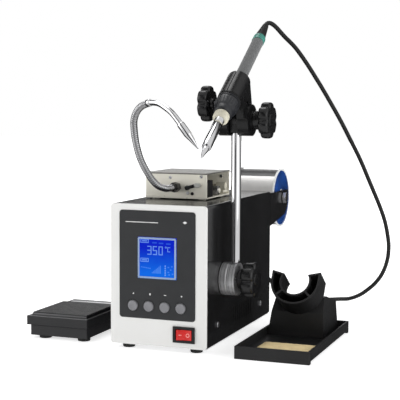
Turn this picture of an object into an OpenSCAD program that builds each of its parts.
// Soldering iron station with a solder feeder: main unit, column with the iron,
// feeder box and spool, foot pedal, and iron stand with a sponge.
// Origin: centre of the main unit's footprint on the bench. +X right, +Y to the rear, +Z up.

/* [Main unit] */
// Width of the casing
body_w = 98; // [96:1:100]
// Depth of the casing
body_d = 202; // [200:1:206]
// Height of the casing without its feet
body_h = 135; // [133:1:136]
// Height of the rubber feet
foot_h = 5; // [4:1:6]
// Thickness of the sheet metal
sheet = 1.2; // [1:0.1:1.5]
// Side of the square display
display_side = 39; // [36:1:39]
// Radius of a front button
button_r = 5; // [4:0.5:5]

/* [Column] */
// Height of the tilting discs' axis above the bench
disc_z = 66.5; // [62:0.5:70]
// Radius of the two discs
disc_r = 16; // [15:0.5:18]
// Radius of the chrome rod
rod_r = 4.8; // [4:0.1:4.8]
// Height of the holder's tilt axis above the bench
tilt_z = 219.5; // [215:0.5:222]
// Radius of a star knob
knob_r = 17.2; // [15:0.2:18]
// Thickness of a star knob
knob_t = 10; // [8:0.5:11]

/* [Iron] */
// Lean of the iron from upright, in degrees
iron_lean = 55.7; // [55:0.1:57]
// Radius of the foam grip
grip_r = 5.9; // [5.5:0.1:6]
// Radius of the heater barrel
barrel_r = 4.5; // [4.3:0.1:4.5]
// Diameter of the iron's cord
cord_d = 4.6; // [4:0.1:5]

/* [Feeder] */
// Width of the feeder case
feeder_w = 65; // [64:1:66]
// Depth of the feeder case
feeder_d = 68; // [68:1:70]
// Height of the feeder case without its lid
feeder_h = 24; // [24:0.5:26]
// Radius of the gooseneck
neck_r = 2.8; // [2.5:0.1:2.8]
// Radius of the spool's flanges
spool_r = 33; // [30:1:34]

/* [Foot pedal] */
// Width of the pedal's tread
tread_w = 67; // [66:1:68]
// Depth of the pedal's base
pedal_d = 95; // [94:1:100]

/* [Iron stand] */
// Width of the stand's tray
tray_w = 72; // [70:1:74]
// Depth of the stand's tray
tray_d = 157; // [155:1:160]
// Outer radius of the cradle
cradle_r = 24.5; // [24:0.5:26]
// Inner radius of the cradle
cradle_bore = 14; // [12:0.5:14]

/* [Hidden] */
$fn = 48;

fit = 0.05;
half_w = body_w / 2;
top = foot_h + body_h;
bezel_t = 2.5;
// the display, the buttons and the switch on the front, as x and z
display_at = [-0.7, foot_h + 84.4];
button_x = [-25.5, -9.2, 7.1, 23.4];
button_z = foot_h + 38;
pivot_pin_r = 1.2;
switch_at = [26.7, foot_h + 13.1];
feet_at = [[-35, 12], [35, 12], [-35, 174], [35, 174]];
socket_at = [[36, 38], [8, 38]];
// the column, as x and y; y is measured from the casing's front face here and below
column_x = half_w + 12;
column_y = 48;
disc_t = 7.6;
stud_r = 4;
pivot_r = 3;
eye_w = 9.6;
holder_w = 32;
slot_w = 10;
// the iron's axis, from its tip
tip_at = [column_x, -48.5, 187];
iron_length = 228;
sleeve_at = 107;
sleeve_len = 34;
sleeve_r = 11.5;
sleeve_bore = 6.2;
pinch_at = [44, 235];
// the feeder
feeder_x = -39;
feeder_y = 62;
feeder_z = top + 1.3;
wire_x = -5.5;
wire_z = feeder_z + 11.3;
wire_r = 0.5;
roller_y = 100;
drive_r = 4.6;
press_r = 4.4;
drive_z = wire_z - wire_r - drive_r - 0.1;
press_z = wire_z + wire_r + press_r + 0.1;
arm_pivot = [88, 158];
tension_at = [116, 151];
// the spool, as y and z
spool_at = [250, 129.5];
spool_x = [-3, 47.5];
axle_r = 4;
// the pedal
pedal_x = -113;
pedal_y = 12;
base_x = [-143, -80.8];
pin_at = [84, 15.5];
pin_r = 2;
spring_at = [pedal_x, 30];
// the stand
tray_at = [77, -2];
cradle_at = [110, 86, 61.8];
cradle_lean = 33;
cradle_top = 11;
cradle_depth = 26;

// Points that the gooseneck passes through, from the outlet nut to the nozzle
neck_route = [[-5.5, 50, 152.6], [-5.8, 41, 152.6], [-7, 34, 153], [-11, 26, 156], [-14.5, 20, 162],
    [-18.5, 14, 171.5], [-21.5, 9, 181.5], [-23, 5, 191], [-23.5, 1, 200.5], [-23, -3, 210],
    [-21, -8, 219], [-16, -13, 227], [-8.5, -18, 232.5], [1.5, -23, 235.5]];
// Points of the smooth tube after it, up to the nozzle
tube_route = [[1.5, -23, 235.5], [11, -27, 235], [19.5, -31, 231.5], [27.5, -34, 226.5],
    [34, -36, 220], [37.5, -37, 216]];
nozzle_from = [37.5, -37, 216];
nozzle_to = [55.2, -39.5, 194.8];
// Points that the iron's cord passes through, from the strain relief to the plug
cord_route = [[61, 139.9, 315.5], [61.4, 143.6, 317.6], [63.5, 149, 318], [67, 156, 314.5], [72.5, 169, 305.5],
    [78.5, 188, 295.5], [85, 206, 281.5], [92, 223, 265], [99.5, 238, 247.5], [112, 258, 218.5],
    [121, 270, 196.5], [130.5, 281, 173.5], [140, 292, 146.5], [150, 301, 119], [155.5, 306, 100.5],
    [158.5, 310, 82], [159, 313, 69.5], [157, 316, 55], [151.5, 320, 40], [143.5, 325, 28], [134, 331, 18.5],
    [121, 337, 8.5], [108, 338, 3], [97, 333, 2.5], [84, 324, 2.5], [68, 314, 2.5], [52, 300, 4],
    [42, 284, 11], [37.5, 266, 23], [36, 250, 33], [36, 238, 37.5], [36, 230, 38]];

function unit(v) = v / norm(v);

function heading(p, i) = unit(p[min(i + 1, len(p) - 1)] - p[max(i - 1, 0)]);

// A side direction at every point, carried along the path so that the tube never twists
function sides(p, i = 0, u = [0.2, 0.1, 0.97]) = i == len(p) ? [] :
    let (t = heading(p, i), s = unit(u - (u * t) * t)) concat([s], sides(p, i + 1, s));

// A smooth curve through the points, n steps from each to the next
function through(p, n) = concat([for (i = [0 : len(p) - 2], k = [0 : n - 1])
    let (a = p[max(i - 1, 0)], b = p[i], c = p[i + 1], d = p[min(i + 2, len(p) - 1)], t = k / n)
    0.5 * (2 * b + (c - a) * t + (2 * a - 5 * b + 4 * c - d) * t * t
        + (3 * b - a - 3 * c + d) * t * t * t)], [p[len(p) - 1]]);

module swept(path, r, ring = 10) {
    s = sides(path);
    points = [for (i = [0 : len(path) - 1], k = [0 : ring - 1])
        let (t = heading(path, i), w = cross(t, s[i]), a = 360 * k / ring)
        path[i] + r * (cos(a) * s[i] + sin(a) * w)];
    last = ring * (len(path) - 1);
    polyhedron(points, concat([[for (k = [0 : ring - 1]) k]],
        [for (i = [0 : len(path) - 2], k = [0 : ring - 1])
            let (a = i * ring + k, b = i * ring + (k + 1) % ring) [a, a + ring, b + ring, b]],
        [[for (k = [ring - 1 : -1 : 0]) last + k]]));
}

module from_front() translate([0, -body_d / 2, 0]) children();

module block(low, high) translate(low) cube(high - low);

module rod_x(r, x, at) translate([x[0], at[0], at[1]]) rotate([0, 90, 0]) cylinder(r = r, h = x[1] - x[0]);

module rod_y(r, y, at) translate([at[0], y[0], at[1]]) rotate([-90, 0, 0]) cylinder(r = r, h = y[1] - y[0]);

module rod_z(r, z, at) translate([at[0], at[1], z[0]]) cylinder(r = r, h = z[1] - z[0]);

// A flat outline in Y and Z, given thickness along X
module profile_x(x) translate([x[0], 0, 0]) rotate([90, 0, 90]) linear_extrude(x[1] - x[0]) children();

// A flat outline in X and Z, given thickness along Y
module profile_y(y) translate([0, y[1], 0]) rotate([90, 0, 0]) linear_extrude(y[1] - y[0]) children();

module rounded(size, r) {
    square([size[0] - 2 * r, size[1]], center = true);
    square([size[0], size[1] - 2 * r], center = true);
    for (x = [-1, 1], y = [-1, 1]) translate([x * (size[0] / 2 - r), y * (size[1] / 2 - r)]) circle(r);
}

// Main unit

module base_chassis() color("dimgray") from_front() difference() {
    union() {
        block([sheet - half_w, 3.5, foot_h], [half_w - sheet, body_d - 1, foot_h + sheet]);
        block([2 - half_w, body_d - 1 - sheet, foot_h], [half_w - 2, body_d - 1, top - 2]);
        for (s = [-1, 1]) translate([s * (half_w - 2.4), 0, 0])
            block([-sheet / 2, 8, foot_h], [sheet / 2, body_d - 3, foot_h + 26]);
    }
    for (at = socket_at) rod_y(8 + fit, [body_d - 9, body_d + 1], at);
    block([-38, body_d - 9, 22], [-10, body_d + 1, 44]);
}

module top_cover() color([0.08, 0.08, 0.09]) from_front() difference() {
    profile_y([bezel_t, body_d]) difference() {
        translate([0, foot_h + body_h / 2]) rounded([body_w, body_h], 3);
        translate([0, foot_h + body_h / 2 - sheet]) square([body_w - 2 * sheet, body_h], center = true);
    }
    for (i = [0 : 9]) translate([0, 80 + 6 * i, foot_h + 12])
        block([-half_w - 1, -1.1, 0], [half_w + 1, 1.1, 16]);
}

module front_bezel() color("white") from_front() difference() {
    profile_y([0, bezel_t]) translate([0, foot_h + body_h / 2]) rounded([body_w, body_h], 3);
    translate([display_at[0], 0, display_at[1]])
        block([-20, -1, -20], [20, bezel_t + 1, 20]);
    for (x = button_x) rod_y(button_r + 0.3, [-1, bezel_t + 1], [x, button_z]);
    translate([switch_at[0], 0, switch_at[1]]) block([-9.8, -1, -6.5], [9.8, bezel_t + 1, 6.5]);
}

module control_panel() color([0.2, 0.21, 0.23]) from_front() difference() {
    profile_y([-0.6, 0]) translate([-0.8, foot_h + 77.6]) rounded([77.5, 103.2], 3);
    translate([display_at[0], 0, display_at[1]])
        block([-19.8, -1, -19.8], [19.8, 1, 19.8]);
    for (x = button_x) rod_y(button_r + 0.4, [-1, 1], [x, button_z]);
}

module display_glass() color([0.2, 0.4, 0.9]) from_front() {
    half = display_side / 2;
    translate([display_at[0], 0, display_at[1]])
        block([-half, -0.9, -half], [half, bezel_t, half]);
}

module display_module() color("seagreen") from_front() {
    block([-36, 10.6, foot_h + 30], [36, 12.2, foot_h + 112]);
    translate([display_at[0], 0, display_at[1]]) block([-22, bezel_t, -22], [22, 10.6, 22]);
    for (x = button_x) rod_y(3, [9.9, 10.6], [x, button_z]);
}

module button(x) color("gainsboro") from_front() {
    rod_y(button_r, [-2.1, 3], [x, button_z]);
    rod_y(3, [3, 8], [x, button_z]);
}

module button_1() button(button_x[0]);

module button_2() button(button_x[1]);

module button_3() button(button_x[2]);

module button_4() button(button_x[3]);

module switch_housing() color([0.1, 0.1, 0.1]) from_front()
    translate([switch_at[0], 0, switch_at[1]]) difference() {
        union() {
            block([-11, -1.6, -7.7], [11, 0, 7.7]);
            block([-9.5, 0, -6.2], [9.5, 14, 6.2]);
        }
        block([-8.3, -2, -5.2], [8.3, 10, 5.2]);
        rod_z(pivot_pin_r + fit, [-5.8, 5.8], [0, bezel_t]);
    }

module power_rocker() color("red") from_front() translate([switch_at[0], bezel_t, switch_at[1] - 4.9])
    rotate([0, 0, 7]) {
        linear_extrude(9.8)
            polygon([[-7.4, -5], [0, -3.8], [7.4, -5], [7.4, -1], [3.5, 4.5], [-3.5, 4.5], [-7.4, -1]]);
        rod_z(pivot_pin_r, [-0.7, 10.5], [0, 0]);
    }

module rubber_feet() color([0.1, 0.1, 0.1]) from_front()
    for (at = feet_at) rod_z(6, [0, foot_h], at);

module case_screws() color("silver") from_front()
    for (s = [-1, 1], at = [[31, foot_h + 19], [167, foot_h + 17]]) {
        x = s * half_w;
        rod_x(3, [min(x, x + s * 1.4), max(x, x + s * 1.4)], at);
        rod_x(1.5, [min(x, x - s * 3.2), max(x, x - s * 3.2)], at);
    }

module transformer() color([0.35, 0.33, 0.3]) from_front() {
    block([-38, 128, foot_h + sheet], [14, 158, foot_h + 52]);
    block([-30, 118, foot_h + 12], [6, 168, foot_h + 42]);
}

module main_board() color("darkgreen") from_front() {
    block([-40, 22, foot_h + 8], [40, 108, foot_h + 9.6]);
    for (x = [-34, 34], y = [28, 102]) rod_z(3, [foot_h + sheet, foot_h + 8], [x, y]);
    block([18, 60, foot_h + 9.6], [34, 100, foot_h + 34]);
    for (x = [-30, -16], y = [40, 60]) rod_z(5, [foot_h + 9.6, foot_h + 27], [x, y]);
}

module mains_inlet() color([0.1, 0.1, 0.1]) from_front() difference() {
    union() {
        block([-42, body_d - 1, 19], [-6, body_d + 2, 47]);
        block([-37.8, body_d - 22, 22.2], [-10.2, body_d - 1, 43.8]);
    }
    block([-34, body_d - 15, 25], [-14, body_d + 3, 39]);
}

module panel_sockets() color("silver") from_front() for (at = socket_at) {
    rod_y(8, [body_d - 16, body_d - 1], at);
    rod_y(10, [body_d - 1, body_d + 2], at);
}

// Column

module star_knob(hub_r, hub_h, t = knob_t) difference() {
    union() {
        linear_extrude(t) difference() {
            circle(knob_r);
            for (i = [0 : 5]) rotate(60 * i + 30) translate([knob_r + 3.4, 0]) circle(6.4);
        }
        translate([0, 0, -hub_h]) cylinder(r = hub_r, h = hub_h);
    }
    translate([0, 0, t - 1.5]) cylinder(r = 8, h = 3);
}

module knob_x(x, at, side, hub_r, hub_h, t = knob_t)
    translate([x, at[0], at[1]]) rotate([0, 90 * side, 0]) star_knob(hub_r, hub_h, t);

module fixed_disc() color("silver") from_front() difference() {
    rod_x(disc_r, [half_w, half_w + disc_t], [column_y, disc_z]);
    rod_x(stud_r + fit, [half_w - 1, half_w + disc_t + 1], [column_y, disc_z]);
}

module column_disc() color("silver") from_front() difference() {
    rod_x(disc_r, [half_w + disc_t + 0.3, half_w + 2 * disc_t + 0.3], [column_y, disc_z]);
    rod_x(stud_r + fit, [half_w, half_w + 2 * disc_t + 1], [column_y, disc_z]);
    rod_z(3.4, [disc_z + 7, disc_z + disc_r + 1], [column_x, column_y]);
}

module column_rod() color("whitesmoke") from_front() {
    rod_z(3.4, [disc_z + 7, disc_z + disc_r], [column_x, column_y]);
    rod_z(rod_r, [disc_z + disc_r, tilt_z - 12], [column_x, column_y]);
}

module rod_eye() color([0.15, 0.15, 0.15]) from_front() difference() {
    union() {
        translate([column_x - eye_w / 2, 0, 0]) block([0, column_y - 6, tilt_z - 12],
            [eye_w, column_y + 6, tilt_z]);
        rod_x(7, [column_x - eye_w / 2, column_x + eye_w / 2], [column_y, tilt_z]);
    }
    rod_x(pivot_r + fit, [column_x - eye_w, column_x + eye_w], [column_y, tilt_z]);
}

module disc_knob() color([0.1, 0.1, 0.1]) from_front() {
    knob_x(half_w + 2 * disc_t + 5.8, [column_y, disc_z], 1, 9, 5.2, knob_t + 3);
    rod_x(stud_r, [half_w + 0.5, half_w + 2 * disc_t + 1], [column_y, disc_z]);
}

// Everything on the iron's own axis: z runs from the tip to the cord
module along_iron() from_front() translate(tip_at) rotate([-iron_lean, 0, 0]) children();

module sleeve_outline() {
    way = [sin(iron_lean), cos(iron_lean)];
    sleeve = [tip_at[1], tip_at[2]] + sleeve_at * way;
    across = unit([sleeve[1] - tilt_z, column_y - sleeve[0]]);
    polygon([[column_y, tilt_z] - 14 * across, [column_y, tilt_z] + 14 * across,
        sleeve + (sleeve_len / 2 - 2) * way, sleeve - (sleeve_len / 2 - 3) * way]);
}

module iron_holder() color([0.1, 0.1, 0.1]) difference() {
    union() {
        from_front() {
            rod_x(15, [column_x - holder_w / 2, column_x + holder_w / 2], [column_y, tilt_z]);
            rod_x(9, [column_x + holder_w / 2, column_x + holder_w / 2 + 2], [column_y, tilt_z]);
            profile_x([column_x - 12, column_x + 12]) sleeve_outline();
        }
        along_iron() translate([0, 0, sleeve_at - sleeve_len / 2]) cylinder(r = sleeve_r, h = sleeve_len);
    }
    along_iron() cylinder(r = sleeve_bore, h = iron_length);
    along_iron() translate([-0.4, -sleeve_r - 1, sleeve_at - sleeve_len]) cube([0.8, sleeve_r, 2 * sleeve_len]);
    from_front() {
        translate([column_x - slot_w / 2, 0, 0])
            block([0, column_y - 30, tilt_z - 20], [slot_w, column_y + 30, tilt_z + 9]);
        rod_x(pivot_r + fit, [column_x - holder_w, column_x + holder_w], [column_y, tilt_z]);
        rod_x(2.5 + fit, [column_x - holder_w, column_x + holder_w], pinch_at);
    }
}

module tilt_knob() color([0.1, 0.1, 0.1]) from_front() {
    knob_x(column_x + holder_w / 2 + 9.5, [column_y, tilt_z], 1, 9, 7.2);
    rod_x(pivot_r, [column_x - holder_w / 2 + 1, column_x + holder_w / 2 + 4], [column_y, tilt_z]);
}

module sleeve_knob() color([0.1, 0.1, 0.1]) from_front() {
    knob_x(column_x - 23.5, pinch_at, -1, 5, 3);
    rod_x(2.5, [column_x - 27, column_x + 11], pinch_at);
}

// Iron

module iron_tip() color("silver") along_iron() rotate_extrude()
    polygon([[0, 0], [0.5, 0.2], [2.9, 12], [3.4, 15.6], [3.4, 40], [0, 40]]);

module heater_barrel() color("whitesmoke") along_iron() rotate_extrude()
    polygon([[3.5, 15.8], [4.1, 15.8], [barrel_r, 16.4], [barrel_r, 74], [3.5, 74]]);

module barrel_nut() color("ivory") along_iron() rotate_extrude()
    polygon([[barrel_r + fit, 58.5], [6.2, 58.5], [7.4, 59.7], [7.4, 65.9], [barrel_r + fit, 65.9]]);

module grip_collar() color([0.25, 0.26, 0.28]) along_iron() rotate_extrude()
    polygon([[4.6, 66], [7.9, 66], [8.7, 68.5], [9.4, 74], [10.8, 81], [11.3, 88.5], [4.6, 88.5]]);

module handle_core() color([0.15, 0.15, 0.15]) along_iron() rotate_extrude()
    polygon([[2.6, 75], [4.55, 75], [4.55, 88.6], [4.2, 88.6], [4.2, 203], [2.6, 203]]);

module foam_grip() color("slategray") along_iron() rotate_extrude()
    polygon([[4.25, 88.7], [grip_r, 88.7], [grip_r, 194.4], [4.25, 194.4]]);

module grip_band() color("seagreen") along_iron() rotate_extrude()
    polygon([[4.25, 194.5], [6.3, 194.5], [6.3, 202], [5.8, 203], [4.25, 203]]);

module strain_relief() color([0.1, 0.1, 0.1]) along_iron() rotate_extrude()
    polygon(concat([[cord_d / 2 + 0.05, 203.1], [5.4, 203.1]],
        [for (i = [0 : 4]) let (z = 204.4 + 4 * i, r = 5.2 - 0.45 * i) each [[r, z], [r, z + 2.4],
            [r - 0.6, z + 2.5], [r - 0.6, z + 3.9]]],
        [[2.9, iron_length], [cord_d / 2 + 0.05, iron_length]]));

module iron_cord() color([0.1, 0.1, 0.1]) from_front() swept(through(cord_route, 2), cord_d / 2, 8);

module cord_plug() color([0.25, 0.25, 0.26]) from_front() {
    rod_y(7, [body_d + 2, body_d + 16], socket_at[0]);
    rod_y(4.5, [body_d + 16, 230], socket_at[0]);
}

// Feeder

module feeder_case() color([0.85, 0.82, 0.74]) from_front() difference() {
    union() {
        translate([feeder_x, feeder_y, feeder_z]) {
            block([0, 0, 0], [feeder_w, feeder_d, sheet]);
            block([0, 0, 0], [feeder_w, sheet, feeder_h]);
            block([0, -0.8, 0], [feeder_w, 0, 2.4]);
            block([0, feeder_d - sheet, 0], [feeder_w, feeder_d, feeder_h]);
            block([0, 0, 0], [sheet, feeder_d, feeder_h]);
            for (x = [8, feeder_w - 8], y = [8, feeder_d - 8]) rod_z(4, [-1.3, 0], [x, y]);
        }
        block([1, 112, feeder_z + sheet], [3, 120, 155.5]);
    }
    rod_y(3, [feeder_y - 2, feeder_y + 3], [wire_x, wire_z]);
    rod_y(1.5, [feeder_y + feeder_d - 3, feeder_y + feeder_d + 1], [wire_x, wire_z]);
    rod_x(1.5 + fit, [0, 4], tension_at);
}

module feeder_lid() color([0.6, 0.58, 0.54]) from_front()
    translate([feeder_x, feeder_y, feeder_z + feeder_h])
        block([-0.5, -0.5, 0], [feeder_w + 0.5, feeder_d + 0.5, 1.4]);

module feed_motor() color("gray") from_front() {
    block([feeder_x + 1.5, roller_y - 6, feeder_z + sheet], [-15, roller_y + 6, feeder_z + sheet + 10]);
}

module drive_roller() color("silver") from_front() {
    rod_x(1.5, [-14.8, 25.6], [roller_y, drive_z]);
    rod_x(drive_r, [wire_x - 4, wire_x + 4], [roller_y, drive_z]);
    profile_x([19, 25]) translate([roller_y, drive_z]) difference() {
        circle(4.6);
        for (i = [0 : 13]) rotate(360 * i / 14) translate([4.9, 0]) circle(0.65, $fn = 16);
    }
}

module pressure_roller() color("silver") from_front() difference() {
    rod_x(press_r, [wire_x - 4, wire_x + 4], [roller_y, press_z]);
    rod_x(1.5 + fit, [wire_x - 5, wire_x + 5], [roller_y, press_z]);
}

module pressure_arm() color("gray") from_front() {
    difference() {
        union() {
            rod_x(3, [-1, 1.6], arm_pivot);
            rod_x(3, [-1, 1.6], [roller_y, press_z]);
            block([-1, arm_pivot[0], arm_pivot[1] - 2], [1.6, roller_y, arm_pivot[1] + 2]);
        }
        rod_x(1.5 + fit, [-2, 3], arm_pivot);
    }
    rod_x(1.5, [wire_x - 4.4, -1], [roller_y, press_z]);
}

module guide_block() color([0.1, 0.1, 0.1]) from_front() difference() {
    union() {
        block([-12, 66, feeder_z + sheet], [25, 82, 159]);
        block([2, 82, 153], [5, 91, 162]);
        rod_x(1.5, [-1.2, 5], arm_pivot);
    }
    rod_y(0.9, [65, 83], [wire_x, wire_z]);
    block([-1, 64, 156], [12, 83, 160]);
}

module tension_knob() color("ivory") from_front() {
    rod_x(1.5, [0.5, 17], tension_at);
    profile_x([17, 27]) translate(tension_at) difference() {
        circle(4);
        for (i = [0 : 19]) rotate(18 * i) translate([4.2, 0]) circle(0.45, $fn = 16);
    }
}

module outlet_nut() color([0.12, 0.12, 0.12]) from_front() difference() {
    union() {
        translate([wire_x, feeder_y - 0.8, wire_z]) rotate([90, 15, 0]) cylinder(r = 5, h = 9.6, $fn = 6);
        rod_y(3.9, [48, 52], [wire_x, wire_z]);
        rod_y(2.95, [feeder_y - 1, feeder_y + 2.5], [wire_x, wire_z]);
    }
    rod_y(neck_r + fit, [47, 60], [wire_x, wire_z]);
    rod_y(0.9, [59, feeder_y + 3], [wire_x, wire_z]);
}

module gooseneck() color("lightgray") from_front() {
    rod_y(neck_r, [49, 59.5], [wire_x, wire_z]);
    swept(through(neck_route, 3), neck_r, 12);
}

module guide_nozzle() color("whitesmoke") from_front() {
    swept(through(tube_route, 3), neck_r - 0.3, 12);
    way = unit(nozzle_to - nozzle_from);
    long = norm(nozzle_to - nozzle_from);
    translate(nozzle_from) rotate([0, acos(way[2]), atan2(way[1], way[0])]) rotate_extrude()
        polygon([[0, -1], [3.2, -0.5], [3.6, 1], [3.6, long * 0.5], [0.9, long - 0.6], [0.6, long], [0, long]]);
}

module solder_wire() color("silver") from_front()
    swept([[wire_x, 60, wire_z], [wire_x, 80, wire_z], [wire_x, 100, wire_z], [wire_x, 131, wire_z],
        [-2, 190, wire_z + 5.5], [2, 249, wire_z + 10]], wire_r, 8);

// Spool

module spool_bracket() color([0.08, 0.08, 0.08]) from_front() difference() {
    union() {
        for (x = [[-7, -5.5], [48, 49.5]]) profile_x(x) {
            polygon([[body_d, 102], [spool_at[0], 109], [spool_at[0], 138], [body_d, 138]]);
            intersection() {
                translate(spool_at) circle(20.5);
                translate([spool_at[0] - 21, 100]) square([42, 38]);
            }
        }
        block([-7, body_d, 102], [49.5, body_d + 1.5, 138]);
    }
    rod_x(axle_r + fit, [-10, 52], spool_at);
}

module spool_axle() color("silver") from_front() {
    rod_x(axle_r, [-7.5, 50], spool_at);
    rod_x(7, [-10.5, -7.5], spool_at);
    rod_x(7, [50, 54], spool_at);
}

module spool() color("white") from_front() difference() {
    union() {
        for (x = [[spool_x[0], spool_x[0] + 2], [spool_x[1] - 2, spool_x[1]]]) rod_x(spool_r, x, spool_at);
        rod_x(12, spool_x, spool_at);
    }
    rod_x(spool_r - 2, [spool_x[1] - 0.6, spool_x[1] + 1], spool_at);
    rod_x(spool_r - 2, [spool_x[0] - 1, spool_x[0] + 0.6], spool_at);
    rod_x(axle_r + fit, [spool_x[0] - 1, spool_x[1] + 1], spool_at);
}

module solder_coil() color("silver") from_front() difference() {
    rod_x(spool_r - 1.4, [spool_x[0] + 2, spool_x[1] - 2], spool_at);
    rod_x(12, [spool_x[0], spool_x[1]], spool_at);
}

// Foot pedal

module pedal_base() color([0.2, 0.2, 0.21]) from_front() difference() {
    union() {
        block([base_x[0], pedal_y, 3], [base_x[1], pedal_y + pedal_d, 13]);
        block([base_x[0], 90, 3], [base_x[1], pedal_y + pedal_d, 23.5]);
        for (x = [base_x[0], base_x[1] - 2.8]) block([x, 79, 3], [x + 2.8, 90, 18.2]);
    }
    block([base_x[0] + 2.8, pedal_y + 2, 5], [base_x[1] - 2.8, 88, 24]);
    rod_x(pin_r + 0.02, [base_x[0] - 1, base_x[1] + 1], pin_at);
}

module pedal_tread() color([0.3, 0.3, 0.31]) from_front() difference() {
    left = pedal_x - tread_w / 2;
    right = pedal_x + tread_w / 2;
    union() {
        block([left, 10, 18.6], [right, 87.5, 22.5]);
        block([left, 10, 13.5], [right, 11.6, 19]);
        block([left, 10, 13.5], [left + 1.6, 80, 19]);
        block([right - 0.8, 10, 13.5], [right, 80, 19]);
        block([left + 4.5, 15, 22.5], [right - 3, 78, 26]);
        block([base_x[0] + 3.2, 82, 15], [base_x[1] - 3.2, 86, 19]);
        rod_x(3, [base_x[0] + 3.2, base_x[1] - 3.2], pin_at);
    }
    rod_x(pin_r + fit, [left, right], pin_at);
    for (i = [0 : 14]) block([left + 4, 17 + 4 * i, 25], [right - 2, 18.6 + 4 * i, 27]);
}

module pedal_pin() color("silver") from_front() rod_x(pin_r, [base_x[0] + 0.2, base_x[1] - 0.2], pin_at);

module pedal_spring() color("silver") from_front() {
    turns = 6;
    steps = 12 * turns;
    swept([for (i = [0 : steps]) let (a = 360 * turns * i / steps)
        [spring_at[0] + 5 * cos(a), spring_at[1] + 5 * sin(a), 5.6 + 12.4 * i / steps]], 0.55, 8);
}

module pedal_feet() color([0.1, 0.1, 0.1]) from_front()
    for (x = [-130, -87.2], y = [19, 98]) rod_z(6.3, [0, 3], [x, y]);

// Iron stand

module stand_tray() color([0.12, 0.12, 0.12]) from_front() translate([tray_at[0], tray_at[1], 0]) {
    difference() {
        block([0, 0, 2.6], [tray_w, tray_d, 12.3]);
        block([2.4, 2.4, 4.6], [tray_w - 2.4, tray_d - 2.4, 13]);
    }
    for (y = [0, tray_d - 5]) block([0, y, 0], [tray_w, y + 5, 2.6]);
}

module in_cradle() translate(cradle_at) rotate([90 - cradle_lean, 0, 0]) children();

// A U with a flared mouth, drawn inset from the outer shape
module cradle_outline(inset = 0) difference() {
    union() {
        circle(cradle_r - inset);
        translate([inset - cradle_r, 0]) square([2 * (cradle_r - inset), cradle_top - inset]);
    }
    translate([0, -inset]) polygon([[-cradle_r - 1, 2 * cradle_r], [cradle_r + 1, 2 * cradle_r],
        [cradle_r + 1, cradle_top], [cradle_bore - 2, 7.5], [2 - cradle_bore, 7.5],
        [-cradle_r - 1, cradle_top]]);
}

module stand_cradle() color([0.12, 0.12, 0.12]) from_front() difference() {
    union() {
        intersection() {
            profile_x([80, 138]) polygon([[94, 4.6], [152.3, 4.6], [150.5, 33], [112, 44], [104, 44], [94.5, 29]]);
            profile_y([90, 155]) polygon([[80, 4.6], [138, 4.6], [135.5, 45], [86.5, 45]]);
        }
        in_cradle() translate([0, 0, -cradle_depth]) linear_extrude(cradle_depth) cradle_outline();
    }
    in_cradle() translate([0, 0, -58]) linear_extrude(70) circle(cradle_bore);
    in_cradle() translate([0, 0, -cradle_depth + 6]) linear_extrude(cradle_depth) difference() {
        cradle_outline(2);
        circle(cradle_bore + 1.8);
        for (a = [222, 318]) rotate(a) translate([0, -1]) square([cradle_r, 2]);
    }
}

module sponge() color("khaki") from_front() block([93, 1, 4.7], [146, 43, 9.6]);

base_chassis();
top_cover();
front_bezel();
control_panel();
display_glass();
display_module();
button_1();
button_2();
button_3();
button_4();
switch_housing();
power_rocker();
rubber_feet();
case_screws();
transformer();
main_board();
mains_inlet();
panel_sockets();
fixed_disc();
column_disc();
column_rod();
rod_eye();
disc_knob();
iron_holder();
tilt_knob();
sleeve_knob();
iron_tip();
heater_barrel();
barrel_nut();
grip_collar();
handle_core();
foam_grip();
grip_band();
strain_relief();
iron_cord();
cord_plug();
feeder_case();
feeder_lid();
feed_motor();
drive_roller();
pressure_roller();
pressure_arm();
guide_block();
tension_knob();
outlet_nut();
gooseneck();
guide_nozzle();
solder_wire();
spool_bracket();
spool_axle();
spool();
solder_coil();
pedal_base();
pedal_tread();
pedal_pin();
pedal_spring();
pedal_feet();
stand_tray();
stand_cradle();
sponge();
